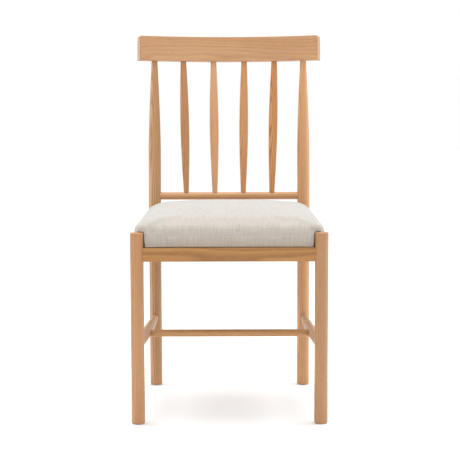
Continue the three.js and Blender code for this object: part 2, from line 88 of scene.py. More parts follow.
RAIL_THICKNESS = 20 * MM
RAIL_FACE = 8 * MM  # how far outside the line between two leg axes a seat rail's face is
RAIL_START = 12.8 * MM  # the nearest that a seat rail's end comes to a leg's axis

SIDE_STRETCHER_ENDS, SIDE_STRETCHER_SWELL = 7.75 * MM, 4.75 * MM  # radius, and growth at the middle
CROSS_RADIUS = 9 * MM
LOWER_RAIL_RADIUS = 9.5 * MM

CREST_HEIGHT, CREST_THICKNESS = 63 * MM, 26 * MM
CREST_CORNER = 5 * MM
CREST_END_ANGLE = radians(18.6)
CREST_HALF_WIDTH = 234.3 * MM
CREST_RADIUS = CREST_HALF_WIDTH / sin(CREST_END_ANGLE) - CREST_THICKNESS / 2  # of its middle line

SPINDLE_LOW, SPINDLE_HIGH, SPINDLE_SWELL = 6.5 * MM, 7.2 * MM, 4.4 * MM
SPINDLE_IN_RAIL = 5 * MM  # the hidden length of a spindle in each of its rails
SPINDLE_X = {"spindle_1": (-109.7, -117), "spindle_2": (-36.5, -39.5),  # millimetres, low and high
             "spindle_3": (36.5, 39.5), "spindle_4": (109.7, 117)}

EASE = 1.8 * MM  # radius of the eased edges
FOOT_EASE = 2.8 * MM
SINK = 0.2 * MM  # how far a scribed end goes into the piece that it meets
ROUND_SIDES = 64


# ---- mesh helpers -------------------------------------------------------------------------------
def lerp(a, b, share):
    return a + (b - a) * share


def smoothstep(low, high, value):
    share = min(max((value - low) / (high - low), 0), 1)
    return share * share * (3 - 2 * share)


def steps(a, b, count):
    """Even steps from a to b, both included."""
    return [lerp(a, b, i / count) for i in range(count + 1)]


def make_object(name, vertices, faces, grain=None, sharp=radians(40)):
    """An object from vertices and faces, with the unbent place of each vertex in the wood."""
    mesh = bpy.data.meshes.new(name)
    mesh.from_pydata([tuple(v) for v in vertices], [], faces)
    if grain:
        store_vectors(mesh, "grain", grain)
    mesh.shade_smooth()
    mesh.set_sharp_from_angle(angle=sharp)
    return linked(name, mesh)


def linked(name, data):
    """A new object in the scene that shows a mesh, a lamp or a camera."""
    thing = bpy.data.objects.new(name, data)
    bpy.context.scene.collection.objects.link(thing)
    return thing


def store_vectors(mesh, name, vectors):
    attribute = mesh.attributes.new(name, "FLOAT_VECTOR", "POINT")
    attribute.data.foreach_set("vector", [c for v in vectors for c in v])


def loft_faces(ring_count, count, close_ends=True):
    """Faces through rings of equally many points, which turn counterclockwise about the way they go."""
    faces = []
    for low in range(0, (ring_count - 1) * count, count):
        for i in range(count):
            j = (i + 1) % count
            faces.append((low + i, low + j, low + count + j, low + count + i))
    if close_ends:
        faces.append(tuple(reversed(range(count))))
        faces.append(tuple(range((ring_count - 1) * count, ring_count * count)))
    return faces


def finish_piece(piece, material, slot, *nodes):
    piece.data.materials.clear()
    piece.data.materials.append(material)
    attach(piece, "root")
    if nodes:
        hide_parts(*nodes)


def eased_end(end, inward, ease):
    """(length, how much smaller the radius is) pairs round the eased edge of a bar's end."""
    return [(end + inward * ease * (1 - cos(a)), ease * (1 - sin(a))) for a in steps(0, pi / 2, 5)]


def bar_basis(along):
    """Two directions across a bar: right-handed, and level and upward where the bar is level."""
    across = UP.cross(along).normalized() if abs(along.z) < 0.9 else Vector((1, 0, 0))
    upward = along.cross(across).normalized()
    return upward.cross(along), upward


BAR_EDGE, BAR_EDGE_WEAR = 0.5 * MM, 0.3 * MM  # the softened rim of a turned bar's end


def round_bar(name, start, end, radius_at, rings=24, scribe_start=None, scribe_end=None):
    """A turned bar between two points. A scribed end follows the piece that it meets:
    scribe(sideways, upwards) gives how far from the point that piece's surface is."""
    length = (end - start).length
    along = (end - start).normalized()
    across, upward = bar_basis(along)
    edge = BAR_EDGE / length
    shares = [0, edge, *steps(0, 1, rings)[1:-1], 1 - edge, 1]
    vertices, grain = [], []
    for share in shares:
        worn = BAR_EDGE_WEAR if share in (0, 1) else 0
        radius = radius_at(share) - worn
        for i in range(ROUND_SIDES):
            angle = 2 * pi * i / ROUND_SIDES
            side, rise = radius * cos(angle), radius * sin(angle)
            first = scribe_start(side, rise) if scribe_start else 0
            last = length - (scribe_end(side, rise) if scribe_end else 0)
            distance = lerp(first, last, share)
            vertices.append(start + along * distance + across * side + upward * rise)
            grain.append((side, rise, distance))
    return make_object(name, vertices, loft_faces(len(shares), ROUND_SIDES), grain)


def scribe_to(host_radius, by_height=False):
    """How far a round host's surface is from its axis, for a bar that meets it square."""
    def distance(side, rise):
        offset = rise if by_height else side
        return sqrt(max(host_radius ** 2 - offset ** 2, 0)) - SINK
    return distance


# ---- node materials -------------------------------------------------------------------------------
class Nodes:
    """Short calls for building one material's node tree."""

    def __init__(self, name):
        self.material = bpy.data.materials.new(name)
        self.material.use_nodes = True
        self.tree = self.material.node_tree
        self.shader = self.tree.nodes["Principled BSDF"]

    def add(self, kind, **settings):
        node = self.tree.nodes.new("ShaderNode" + kind)
        for key, value in settings.items():
            setattr(node, key, value)
        return node

    def plug(self, node, **inputs):
        for key, value in inputs.items():
            socket = node.inputs[int(key[1:]) if key[1:].isdigit() else key.replace("_", " ")]
            if isinstance(value, bpy.types.NodeSocket):
                self.tree.links.new(value, socket)
            else:
                socket.default_value = value
        return node.outputs[0]

    def math(self, operation, a, b=0.0, c=0.0):
        return self.plug(self.add("Math", operation=operation), i0=a, i1=b, i2=c)

    def attribute(self, name):
        return self.add("Attribute", attribute_name=name).outputs["Vector"]

    def place(self, vector, scale, location=(0, 0, 0)):
        node = self.add("Mapping")
        return self.plug(node, Vector=vector, Location=location, Scale=scale)

    def noise(self, vector, detail=2.0, roughness=0.5):
        node = self.add("TexNoise")
        return self.plug(node, Vector=vector, Scale=1.0, Detail=detail, Roughness=roughness)

    def ramp(self, value, *stops):
        """stops are (position, grey level or colour)."""
        node = self.add("ValToRGB")
        elements = node.color_ramp.elements
        while len(elements) < len(stops):
            elements.new(0.5)
        for element, (position, colour) in zip(elements, stops):
            element.position = position
            grey = isinstance(colour, (int, float))
            element.color = (colour, colour, colour, 1) if grey else (*colour, 1)
        return self.plug(node, Fac=value)

    def mix(self, share, a, b, blend="MIX"):
        """Inputs 6 and 7 and output 2 are the Mix node's colours."""
        node = self.add("Mix", data_type="RGBA", blend_type=blend)
        for socket, value in ((node.inputs[0], share), (node.inputs[6], a), (node.inputs[7], b)):
            if isinstance(value, bpy.types.NodeSocket):
                self.tree.links.new(value, socket)
            else:
                socket.default_value = (*value, 1) if isinstance(value, tuple) else value
        return node.outputs[2]

    def bump(self, height, distance, strength):
        return self.plug(self.add("Bump"), Strength=strength, Distance=distance, Height=height)

    def finish(self, colour, roughness, normal):
        self.plug(self.shader, Base_Color=colour, Roughness=roughness, Normal=normal)
        return self.material


OAK_LIGHT = (0.62, 0.375, 0.180)
OAK_WARM = (0.51, 0.265, 0.112)
OAK_DARK = (0.33, 0.155, 0.062)
OAK_PORE = (0.26, 0.125, 0.055)
OAK_RAY = (0.66, 0.44, 0.27)
OAK_ROSE = (0.58, 0.31, 0.175)
RING = 3.4 * MM  # width of a growth ring
PITH_SWAY = 30 * MM  # how far the growth rings stray where the grain wanders fully


def oak(name, seed, tint, pith, figure, wander):
    """Ring-porous oak cut from a log whose pith runs beside the piece, in grain coordinates:
    x and y across the piece, z along it. The figure is how strongly the growth rings show."""
    n = Nodes(name)
    grain = n.attribute("grain")
    shift = (seed * 0.37, seed * 0.61, seed * 1.13)

    # Growth rings: distance from the pith, bent by slow noise that runs along the grain.
    warp = n.add("TexNoise")
    n.plug(warp, Vector=n.place(grain, (9, 9, 3.0), shift), Scale=1.0, Detail=2.0, Roughness=0.5)
    sway = n.add("VectorMath", operation="MULTIPLY_ADD")
    n.plug(sway, i0=warp.outputs["Color"], i1=(PITH_SWAY * wander, PITH_SWAY * wander, 0),
           i2=n.place(grain, (1, 1, 0), (*pith, 0)))
    reach = n.add("VectorMath", operation="LENGTH")
    n.plug(reach, i0=sway.outputs[0])
    ring_phase = n.math("FRACT", n.math("DIVIDE", reach.outputs["Value"], RING))
    early = n.ramp(ring_phase, (0.0, 0.9), (0.12, 1.0), (0.5, 0.3), (0.85, 0.0), (1.0, 0.9))

    # Fibres and pores: noise stretched along the grain, with open pores in the early wood.
    bands = n.noise(n.place(grain, (130, 130, 3.5), shift), detail=2.0, roughness=0.6)
    fibre = n.noise(n.place(grain, (520, 520, 7), shift), detail=3.0, roughness=0.65)
    pores = n.noise(n.place(grain, (1700, 1700, 34), shift), detail=1.0)
    open_pores = n.math("MULTIPLY", n.ramp(pores, (0.55, 0.0), (0.68, 1.0)), n.math("ADD", early, 0.2))
    rays = n.ramp(n.noise(n.place(grain, (900, 240, 60), shift), detail=1.0), (0.62, 0.0), (0.72, 1.0))
    patches = n.noise(n.place(grain, (24, 24, 4.0), shift), detail=2.0)
    streaks = n.noise(n.place(grain, (85, 85, 1.5), shift), detail=2.0)

    base = n.mix(n.ramp(patches, (0.32, 0.0), (0.68, 1.0)), OAK_LIGHT, OAK_WARM)
    base = n.mix(n.math("MULTIPLY", n.ramp(bands, (0.35, 1.0), (0.65, 0.0)), 0.35), base, OAK_WARM)
    base = n.mix(n.math("MULTIPLY", n.ramp(streaks, (0.46, 0.0), (0.6, 1.0)), 0.6), base, OAK_ROSE)
    base = n.mix(n.math("MULTIPLY", early, figure), base, OAK_DARK)
    base = n.mix(n.math("MULTIPLY", n.ramp(fibre, (0.36, 1.0), (0.6, 0.0)), 0.3), base, OAK_WARM)
    base = n.mix(n.math("MULTIPLY", open_pores, 0.38), base, OAK_PORE)
    base = n.mix(n.math("MULTIPLY", rays, 0.25), base, OAK_RAY)
    colour = n.mix(1.0, base, tint, "MULTIPLY")

    # Thin oil: a little sheen that the open pores break up.
    dull_pores = n.math("MULTIPLY_ADD", open_pores, 0.2, 0.36)
    roughness = n.math("MULTIPLY_ADD", fibre, 0.16, dull_pores)
    relief = n.math("SUBTRACT", n.math("MULTIPLY", fibre, 0.4), open_pores)
    n.shader.inputs["Specular IOR Level"].default_value = 0.6
    return n.finish(colour, roughness, n.bump(relief, 0.12 * MM, 0.5))


# ---- legs and posts -------------------------------------------------------------------------------
def post_point(length):
    """The post's centre line: (lean, y, z), with y from the rear leg's axis."""
    lean = min(max((length - BEND_START) / BEND_RADIUS, 0), RAKE)
    beyond = max(0, length - BEND_START - BEND_RADIUS * RAKE)
    y = BEND_RADIUS * (1 - cos(lean)) + beyond * sin(RAKE)
    return lean, y, min(length, BEND_START) + BEND_RADIUS * sin(lean) + beyond * cos(RAKE)


def post_length(z):
    bend_top = BEND_START + BEND_RADIUS * sin(RAKE)
    if z < BEND_START:
        return z
    if z < bend_top:
        return BEND_START + BEND_RADIUS * asin((z - BEND_START) / BEND_RADIUS)
    return BEND_START + BEND_RADIUS * RAKE + (z - bend_top) / cos(RAKE)


def crest_line(x):
    """How far back the crest rail's middle line is at x, from its own middle."""
    return CREST_RADIUS * (cos(asin(x / CREST_RADIUS)) - 1)


CREST_FRONT = (CREST_RADIUS - CREST_THICKNESS / 2) * cos(CREST_END_ANGLE) - CREST_RADIUS
CREST_Z = CHAIR_TOP + CREST_FRONT * sin(RAKE) - CREST_HEIGHT / 2 * cos(RAKE)
POST_IN_CREST = post_length(CREST_Z - crest_line(REAR_X) * sin(RAKE))
CREST_Y = REAR_Y + post_point(POST_IN_CREST)[1] - crest_line(REAR_X) * cos(RAKE)
POST_SHOULDER = POST_IN_CREST - CREST_HEIGHT / 2


def post_radius(length):
    share = min(max((length - POST_TAPER_START) / (POST_SHOULDER - POST_TAPER_START), 0), 1)
    return LEG_RADIUS - (LEG_RADIUS - POST_TOP_RADIUS) * share ** POST_TAPER_POWER


def front_leg(side, material):
    stations = eased_end(LEG_BOTTOM, 1, FOOT_EASE)
    stations += [(z, 0) for z in steps(stations[-1][0], FRONT_LEG_TOP - EASE, 12)[1:-1]]
    stations += reversed(eased_end(FRONT_LEG_TOP, -1, EASE))
    vertices, grain = [], []
    for z, worn in stations:
        for i in range(ROUND_SIDES):
            angle = 2 * pi * i / ROUND_SIDES
            x, y = (LEG_RADIUS - worn) * cos(angle), (LEG_RADIUS - worn) * sin(angle)
            vertices.append((side * FRONT_LEG.x + x, FRONT_Y + y, z))
            grain.append((x, y, z))
    name = SIDE_NAMES[side]
    leg = make_object(f"oak_front_leg_{name}", vertices, loft_faces(len(stations), ROUND_SIDES), grain)
    finish_piece(leg, material, "oak", f"front_leg_{name}")


def rear_post(side, material):
    stations = eased_end(LEG_BOTTOM, 1, FOOT_EASE)
    stations += [(z, 0) for z in steps(stations[-1][0], BEND_START, 10)[1:-1]]
    bend_end = BEND_START + BEND_RADIUS * RAKE
    stations += [(z, 0) for z in steps(BEND_START, bend_end, 8)]
    stations += [(z, 0) for z in steps(bend_end, POST_TAPER_START, 4)[1:]]
    stations += [(z, 0) for z in steps(POST_TAPER_START, POST_SHOULDER, 24)[1:]]
    stations.append((POST_SHOULDER + POST_IN_SOCKET, 0))
    vertices, grain = [], []
    for length, worn in stations:
        lean, y, z = post_point(length)
        centre = Vector((side * REAR_X, REAR_Y + y, z))
        rearward = Vector((0, cos(lean), -sin(lean)))
        for i in range(ROUND_SIDES):
            angle = 2 * pi * i / ROUND_SIDES
            radius = post_radius(length) - worn
            across, back = radius * cos(angle), radius * sin(angle)
            vertices.append(centre + Vector((across, 0, 0)) + rearward * back)
            grain.append((across, back, length))
    name = SIDE_NAMES[side]
    post = make_object(f"oak_rear_post_{name}", vertices, loft_faces(len(stations), ROUND_SIDES), grain)
    finish_piece(post, material, "oak", f"rear_post_{name}")


# ---- rails, stretchers, spindles --------------------------------------------------------------------
def board_section(thickness, height):
    """A board's section with eased edges, counterclockwise, with points along its long sides."""
    x, y = thickness / 2 - EASE, height / 2 - EASE
    corners = [(x, -y, -pi / 2), (x, y, 0), (-x, y, pi / 2), (-x, -y, pi)]
    points = []
    for i, (cx, cy, turn) in enumerate(corners):
        arc = [(cx + EASE * cos(a), cy + EASE * sin(a)) for a in steps(turn, turn + pi / 2, 4)]
        nx, ny, next_turn = corners[(i + 1) % 4]
        following = (nx + EASE * cos(next_turn), ny + EASE * sin(next_turn))
        points += arc
        points += [(lerp(arc[-1][0], following[0], s), lerp(arc[-1][1], following[1], s))
                   for s in steps(0, 1, 6)[1:-1]]
    return points


def seat_rail(node, start, end, material):
    """A flat rail between two leg axes, with its ends scribed round the legs."""
    along = (end - start).normalized()
    inward, upward = bar_basis(along)
    length = (end - start).length
    section = board_section(RAIL_THICKNESS, RAIL_TOP - RAIL_LOW)
    depth_of = RAIL_THICKNESS / 2 - RAIL_FACE
    vertices, grain = [], []
    shares = steps(0, 1, 20)
    for share in shares:
        for t, z in section:
            t += depth_of
            scribe = max(RAIL_START, sqrt(max(LEG_RADIUS ** 2 - t * t, 0)) - SINK)
            distance = lerp(scribe, length - scribe, share)
            vertices.append(start + along * distance + inward * t + upward * z)
            grain.append((t, z, distance))
    rail = make_object("oak_" + node, vertices, loft_faces(len(shares), len(section)), grain)
    finish_piece(rail, material, "oak", node)


def side_stretcher_radius(share):
    return SIDE_STRETCHER_ENDS + SIDE_STRETCHER_SWELL * sin(pi * share)


def leg_point(side, front, z):
    return Vector((side * FRONT_LEG.x, FRONT_Y, z)) if front else Vector((side * REAR_X, REAR_Y, z))


def side_stretcher(side, material):
    name = f"side_stretcher_{SIDE_NAMES[side]}"
    start, end = leg_point(side, True, STRETCHER_Z), leg_point(side, False, STRETCHER_Z)
    to_leg = scribe_to(LEG_RADIUS)
    bar = round_bar("oak_" + name, start, end, side_stretcher_radius, 40, to_leg, to_leg)
    finish_piece(bar, material, "oak", name)


def cross_stretcher(material):
    share = (CROSS_Y - FRONT_Y) / (REAR_Y - FRONT_Y)
    x = lerp(FRONT_LEG.x, REAR_X, share)
    ends = [Vector((side * x, CROSS_Y, STRETCHER_Z)) for side in (LEFT, RIGHT)]
    to_stretcher = scribe_to(side_stretcher_radius(share), by_height=True)
    bar = round_bar("oak_cross_stretcher", *ends, lambda s: CROSS_RADIUS, 24, to_stretcher, to_stretcher)
    finish_piece(bar, material, "oak", "cross_stretcher")


def lower_back_rail(material):
    ends = [Vector((side * REAR_X, LOWER_RAIL.y, LOWER_RAIL.z)) for side in (LEFT, RIGHT)]
    to_post = scribe_to(LEG_RADIUS)
    bar = round_bar("oak_lower_back_rail", *ends, lambda s: LOWER_RAIL_RADIUS, 24, to_post, to_post)
    finish_piece(bar, material, "oak", "lower_back_rail")


def crest_point(along, depth, height):
    """A point of the bent crest rail, from its place in the straight board."""
    angle = along / CREST_RADIUS
    x = (CREST_RADIUS + depth) * sin(angle)
    y = (CREST_RADIUS + depth) * cos(angle) - CREST_RADIUS
    back = CREST_Y + y * cos(RAKE) + height * sin(RAKE)
    return Vector((x, back, CREST_Z - y * sin(RAKE) + height * cos(RAKE)))


def crest_rail(material):
    """A straight board with two rounded corners and eased edges, then bent and leant back."""
    half, top = CREST_RADIUS * CREST_END_ANGLE, CREST_HEIGHT / 2
    straight = [(s, top) for s in steps(0, half - CREST_CORNER, 40)]
    right = straight + [(half - CREST_CORNER * (1 - sin(a)), top - CREST_CORNER * (1 - cos(a)))
                        for a in steps(0, pi / 2, 8)[1:]]
    columns = [(-s, t) for s, t in reversed(right[1:])] + right
    rows = steps(0, 1, 8)
    bm = bmesh.new()
    faces_of = {}
    for depth in (-CREST_THICKNESS / 2, CREST_THICKNESS / 2):
        faces_of[depth] = [[bm.verts.new((s, depth, lerp(-top, t, r))) for r in rows] for s, t in columns]
    front, back = faces_of.values()
    for i in range(len(columns) - 1):
        for j in range(len(rows) - 1):
            bm.faces.new((front[i][j], front[i + 1][j], front[i + 1][j + 1], front[i][j + 1]))
            bm.faces.new((back[i][j + 1], back[i + 1][j + 1], back[i + 1][j], back[i][j]))
    rim = [(i, 0) for i in range(len(columns))]
    rim += [(len(columns) - 1, j) for j in range(1, len(rows))]
    rim += [(i, len(rows) - 1) for i in reversed(range(len(columns) - 1))]
    rim += [(0, j) for j in reversed(range(1, len(rows) - 1))]
    for (i, j), (k, m) in zip(rim, rim[1:] + rim[:1]):
        bm.faces.new((back[i][j], back[k][m], front[k][m], front[i][j]))
    bmesh.ops.recalc_face_normals(bm, faces=bm.faces)
    sharp = [e for e in bm.edges if e.calc_face_angle(0) > radians(50)]
    bmesh.ops.bevel(bm, geom=sharp, offset=EASE, segments=4, profile=0.5, affect="EDGES")
    mesh = bpy.data.meshes.new("oak_crest_rail")
    bm.to_mesh(mesh)
    bm.free()
    store_vectors(mesh, "grain", [(v.co.y, v.co.z, v.co.x) for v in mesh.vertices])
    for vertex in mesh.vertices:
        vertex.co = crest_point(*vertex.co)
    mesh.shade_smooth()
    mesh.set_sharp_from_angle(angle=radians(40))
    finish_piece(linked("oak_crest_rail", mesh), material, "oak", "crest_rail")


def spindle(node, bottom_x, top_x, material):
    bottom = Vector((bottom_x * MM, LOWER_RAIL.y, LOWER_RAIL.z + LOWER_RAIL_RADIUS))
    top_along = CREST_RADIUS * asin(top_x * MM / CREST_RADIUS)
    top = crest_point(top_along, 0, -CREST_HEIGHT / 2)
    reach = SPINDLE_IN_RAIL
    along = (top - bottom).normalized()
    length = (top - bottom).length

    def radius_at(share):
        place = min(max((share * (length + 2 * reach) - reach) / length, 0), 1)
        return lerp(SPINDLE_LOW, SPINDLE_HIGH, place) + SPINDLE_SWELL * sin(pi * place)

    bar = round_bar("oak_" + node, bottom - along * reach, top + along * reach, radius_at, 44)
    finish_piece(bar, material, "oak", node)


# ---- seat pad ---------------------------------------------------------------------------------------
# Heights of 440 mm and more are from the floor, and smaller ones are from the pad's lower edge.
PAD_FRONT = FRONT_Y - 11 * MM
PAD_REAR = REAR_Y + 5 * MM
PAD_SIDE_FRONT, PAD_SIDE_REAR = 8 * MM, 16 * MM  # outward of the line between two leg axes
PAD_NOTCH = LEG_RADIUS + 3 * MM
NOTCH_TOP = LEG_RADIUS + 0.6 * MM  # the filling presses the cover closer to a leg higher up
PAD_CORNER, PAD_CORNER_GROWTH = 46 * MM, 0.52  # plan radius of a corner, and how it grows with the inset
PAD_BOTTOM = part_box("seat_cover")[0].z
PAD_SHOULDER = 440 * MM
PAD_ROUND_INSET, PAD_ROUND_TOP = 60 * MM, 486 * MM
FRONT_LEAN = 6 * MM  # how far the front face leans back, all of it between the next two heights
LEAN_START, LEAN_END = 6 * MM, 52 * MM
ROUND_END, ROUND_FULLNESS = radians(65), 0.6  # the round ends near the slope that the crown starts with
PAD_CROWN, PAD_CROWN_POWER = 500 * MM, 2.1
PAD_CROWN_REACH = 0.97  # the last ring is this share of the way to the pad's middle
PAD_WALL_RINGS = (0, 1.2, 3, 5, 6.2, 7, 7.8, 9, 12, 16, 21)  # millimetres above the pad's lower edge
CLEAR_POWER = 14  # how tight the turns at a notch's mouth are
OVER_LEG_START, OVER_LEG_END = 0.6 * MM, 1.8 * MM  # heights above a front leg where the pad closes over it
OVER_LEG_RINGS = (0.1, 0.6, 1.2, 1.8)  # millimetres above the leg
HEM = 42 * MM  # how far the cover is turned under the board
FABRIC = 1.6 * MM  # its thickness there
BOARD_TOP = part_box("seat_board")[1].z + 0.2 * MM  # the foam's underside, just clear of the board
PAD_CENTRE = Vector((0, (PAD_FRONT + PAD_REAR) / 2))
PAD_STEPS = (30, 18, 36)  # points along a corner, half the front or rear, and a side
FORM_STEPS = (8, 11, 20)  # the same on the form that is simulated
ROUND_RINGS, CROWN_RINGS = 18, 24
FORM_VOXEL = 6 * MM
START_WIDER, START_LOWER = 6.5 * MM, 5 * MM  # what that form is wider and lower by before it is pressed out
LOWER_START = 20 * MM  # height above the shoulder where it starts to be lower
SWELL_LIMIT = 5 * MM
FILLING_PRESSURE, CLOTH_QUALITY, CLOTH_FRAMES = 4, 5, 20
HELD_HEIGHT = 8 * MM  # the form is held still up to here
BOARD_HOLD, BOARD_FREE = 6 * MM, 30 * MM  # heights between which the cover leaves the board's shape
LEG_HOLD, LEG_FREE = 0.05, 0.5  # the same beside a leg, in shares of the way clear of it
LEG_HOLD_HEIGHT = 12 * MM  # how far above a front leg the cover still keeps to the notch
GROOVE_HEIGHT, GROOVE_DEPTH, GROOVE_REACH = 7 * MM, 0.5 * MM, 1.6 * MM
TUCK_HEIGHT, TUCK_DEPTH = 32 * MM, 6 * MM  # the cover is pulled in towards the board's lower edge
TUCK_BY_LEG = 0.25  # and less beside a leg
DENT_SCALE, DENT_DEPTH = 14, 0.7 * MM
DENT_START, DENT_FULL = 12 * MM, 60 * MM  # heights between which the dents grow to their full depth
BOARD_ROOM = 7.7 * MM  # from the pad's outline to the inside of the cover beside the board
DUST_INSET = 32 * MM  # from the pad's outline
DUST_FRONT = FRONT_LEG.x + PAD_SIDE_FRONT - DUST_INSET  # half the dust cover's width at the front leg axes
DUST_REAR = REAR_X + PAD_SIDE_REAR - DUST_INSET
DUST_MARGIN = 1 * MM  # between the cloth's ends and the ends of its space
DUST_SAG, DUST_SAG_POWER = 2.2 * MM, 0.6
DUST_RIPPLE, RIPPLE_SCALE = 0.5 * MM, 22
SCREW_ROOM = 5 * MM  # the cloth is cut away this far round each seat screw
DUST_THICKNESS = 0.4 * MM


def fillet(corner, before, after, radius, count):
    """An arc that rounds a corner between unit directions to the points before and after it."""
    half = before.angle(after) / 2
    centre = corner + (before + after).normalized() * radius / sin(half)
    start = corner + before * radius / tan(half) - centre
    turn = pi - 2 * half
    return [centre + Vector((start.x * cos(a) - start.y * sin(a), start.x * sin(a) + start.y * cos(a)))
            for a in steps(0, turn, count)]


def pad_outline(inset, front_clear, rear_clear, counts=PAD_STEPS, lean=0.0):
    """The pad's outline in plan, moved inward by an inset and clear of a circle round each leg,
    counterclockwise from the front's middle. Its front is moved back further by the lean."""
    corner_steps, end_steps, side_steps = counts
    front_leg_axis, rear_leg_axis = leg_point(RIGHT, True, 0).xy, leg_point(RIGHT, False, 0).xy
    at_front = front_leg_axis + Vector((PAD_SIDE_FRONT - inset, 0))
    along = (rear_leg_axis + Vector((PAD_SIDE_REAR - inset, 0)) - at_front).normalized()
    front, rear = PAD_FRONT + inset + lean, PAD_REAR - inset
    corners = [at_front + along * (y - FRONT_Y) / along.y for y in (front, rear)]
    radius = PAD_CORNER + PAD_CORNER_GROWTH * inset
    to_middle = Vector((-1, 0))
    front_arc = fillet(corners[0], to_middle, along, radius, corner_steps)
    rear_arc = fillet(corners[1], -along, to_middle, radius, corner_steps)

    def line(a, b, count):
        return [a.lerp(b, s) for s in steps(0, 1, count)[1:-1]]

    start, end = Vector((0, front)), Vector((0, rear))
    right = [start, *line(start, front_arc[0], end_steps), *front_arc,
             *line(front_arc[-1], rear_arc[0], side_steps), *rear_arc,
             *line(rear_arc[-1], end, end_steps), end]
    for axis, clear in ((front_leg_axis, front_clear), (rear_leg_axis, rear_clear)):
        right = [pushed_clear(point, axis, clear) for point in right]
    left = [Vector((-p.x, p.y)) for p in reversed(right[1:-1])]
    return right + left


def pushed_clear(point, axis, clear):
    """The point moved away from an axis, softly, so that it is at least clear from it."""
    offset = point - axis
    distance = (offset.length ** CLEAR_POWER + clear ** CLEAR_POWER) ** (1 / CLEAR_POWER)
    return axis + offset.normalized() * distance


def round_angle(z):
    """How far round the pad's shoulder a height is."""
    rise = (z - PAD_SHOULDER) / (PAD_ROUND_TOP - PAD_SHOULDER)
    return asin(rise ** (1 / ROUND_FULLNESS) * sin(ROUND_END))


def pad_rings(wider=0.0, lower=0.0, counts=PAD_STEPS):
    """[(height, inset, ring)] from the pad's lower edge over its rounded shoulder to its crown.
    The form that is simulated starts a little wider and lower."""
    profile = [(PAD_BOTTOM + h * MM, 0) for h in PAD_WALL_RINGS]
    over_leg = [round_angle(FRONT_LEG_TOP + h * MM) for h in OVER_LEG_RINGS]
    for angle in sorted(steps(0, ROUND_END, ROUND_RINGS) + over_leg):
        z = lerp(PAD_SHOULDER, PAD_ROUND_TOP, (sin(angle) / sin(ROUND_END)) ** ROUND_FULLNESS)
        profile.append((z, PAD_ROUND_INSET * (1 - cos(angle)) / (1 - cos(ROUND_END))))
    rings = []
    for z, inset in profile:
        notch = lerp(PAD_NOTCH, NOTCH_TOP, smoothstep(PAD_BOTTOM, FRONT_LEG_TOP, z))
        open_leg = 1 - smoothstep(FRONT_LEG_TOP + OVER_LEG_START, FRONT_LEG_TOP + OVER_LEG_END, z)
        outward = wider * smoothstep(PAD_BOTTOM, PAD_SHOULDER, z)
        lean = FRONT_LEAN * smoothstep(PAD_BOTTOM + LEAN_START, PAD_BOTTOM + LEAN_END, z)
        outline = pad_outline(inset - outward, notch * open_leg, notch, counts, lean)
        drop = lower * smoothstep(PAD_SHOULDER + LOWER_START, PAD_ROUND_TOP, z)
        rings.append((z - drop, inset, outline))
    edge = rings[-1][2]
    for share in steps(0, PAD_CROWN_REACH, CROWN_RINGS)[1:]:
        z = lerp(PAD_ROUND_TOP, PAD_CROWN, 1 - (1 - share) ** PAD_CROWN_POWER) - lower
        rings.append((z, PAD_ROUND_INSET, [p.lerp(PAD_CENTRE, share) for p in edge]))
    return rings


def simulate_pad():
    """The pad's filling pressed against its cover, which swells on top and is drawn in round the sides."""
    rings = pad_rings(START_WIDER, START_LOWER, FORM_STEPS)
    vertices = [(p.x, p.y, z) for z, _, ring in rings for p in ring]
    form = make_object("pad_form", vertices, loft_faces(len(rings), len(rings[0][2])))
    remesh = form.modifiers.new("remesh", "REMESH")
    remesh.mode, remesh.voxel_size = "VOXEL", FORM_VOXEL
    apply_modifiers(form)
    before = [v.co.copy() for v in form.data.vertices]

    held = form.vertex_groups.new(name="held")
    held.add([v.index for v in form.data.vertices if v.co.z < PAD_BOTTOM + HELD_HEIGHT], 1.0, "REPLACE")
    cloth = form.modifiers.new("cloth", "CLOTH")
    cloth.settings.effector_weights.gravity = 0
    cloth.settings.use_pressure = True
    cloth.settings.uniform_pressure_force = FILLING_PRESSURE
    cloth.settings.vertex_group_mass = "held"
    cloth.settings.quality = CLOTH_QUALITY
    for number in range(1, CLOTH_FRAMES + 1):
        bpy.context.scene.frame_set(number)
    apply_modifiers(form)
    bpy.context.scene.frame_set(1)
    for vertex, start in zip(form.data.vertices, before):
        moved = vertex.co - start
        if moved.length > SWELL_LIMIT:
            vertex.co = start + moved.normalized() * SWELL_LIMIT
    return form


def apply_modifiers(piece):
    """Leaves the piece with its evaluated mesh and no modifiers."""
    evaluated = piece.evaluated_get(bpy.context.evaluated_depsgraph_get())
    mesh = bpy.data.meshes.new_from_object(evaluated)
    piece.modifiers.clear()
    piece.data = mesh


def close_holes(mesh):
    bm = bmesh.new()
    bm.from_mesh(mesh)
    bmesh.ops.holes_fill(bm, edges=[edge for edge in bm.edges if edge.is_boundary], sides=0)
    bmesh.ops.recalc_face_normals(bm, faces=bm.faces)
    bm.to_mesh(mesh)
    bm.free()


def outline_normals(outline):
    """The horizontal outward direction at each point of an outline."""
    normals = []
    for i, point in enumerate(outline):
        tangent = outline[(i + 1) % len(outline)] - outline[i - 1]
        normals.append(Vector((tangent.y, -tangent.x, 0)).normalized())
    return normals


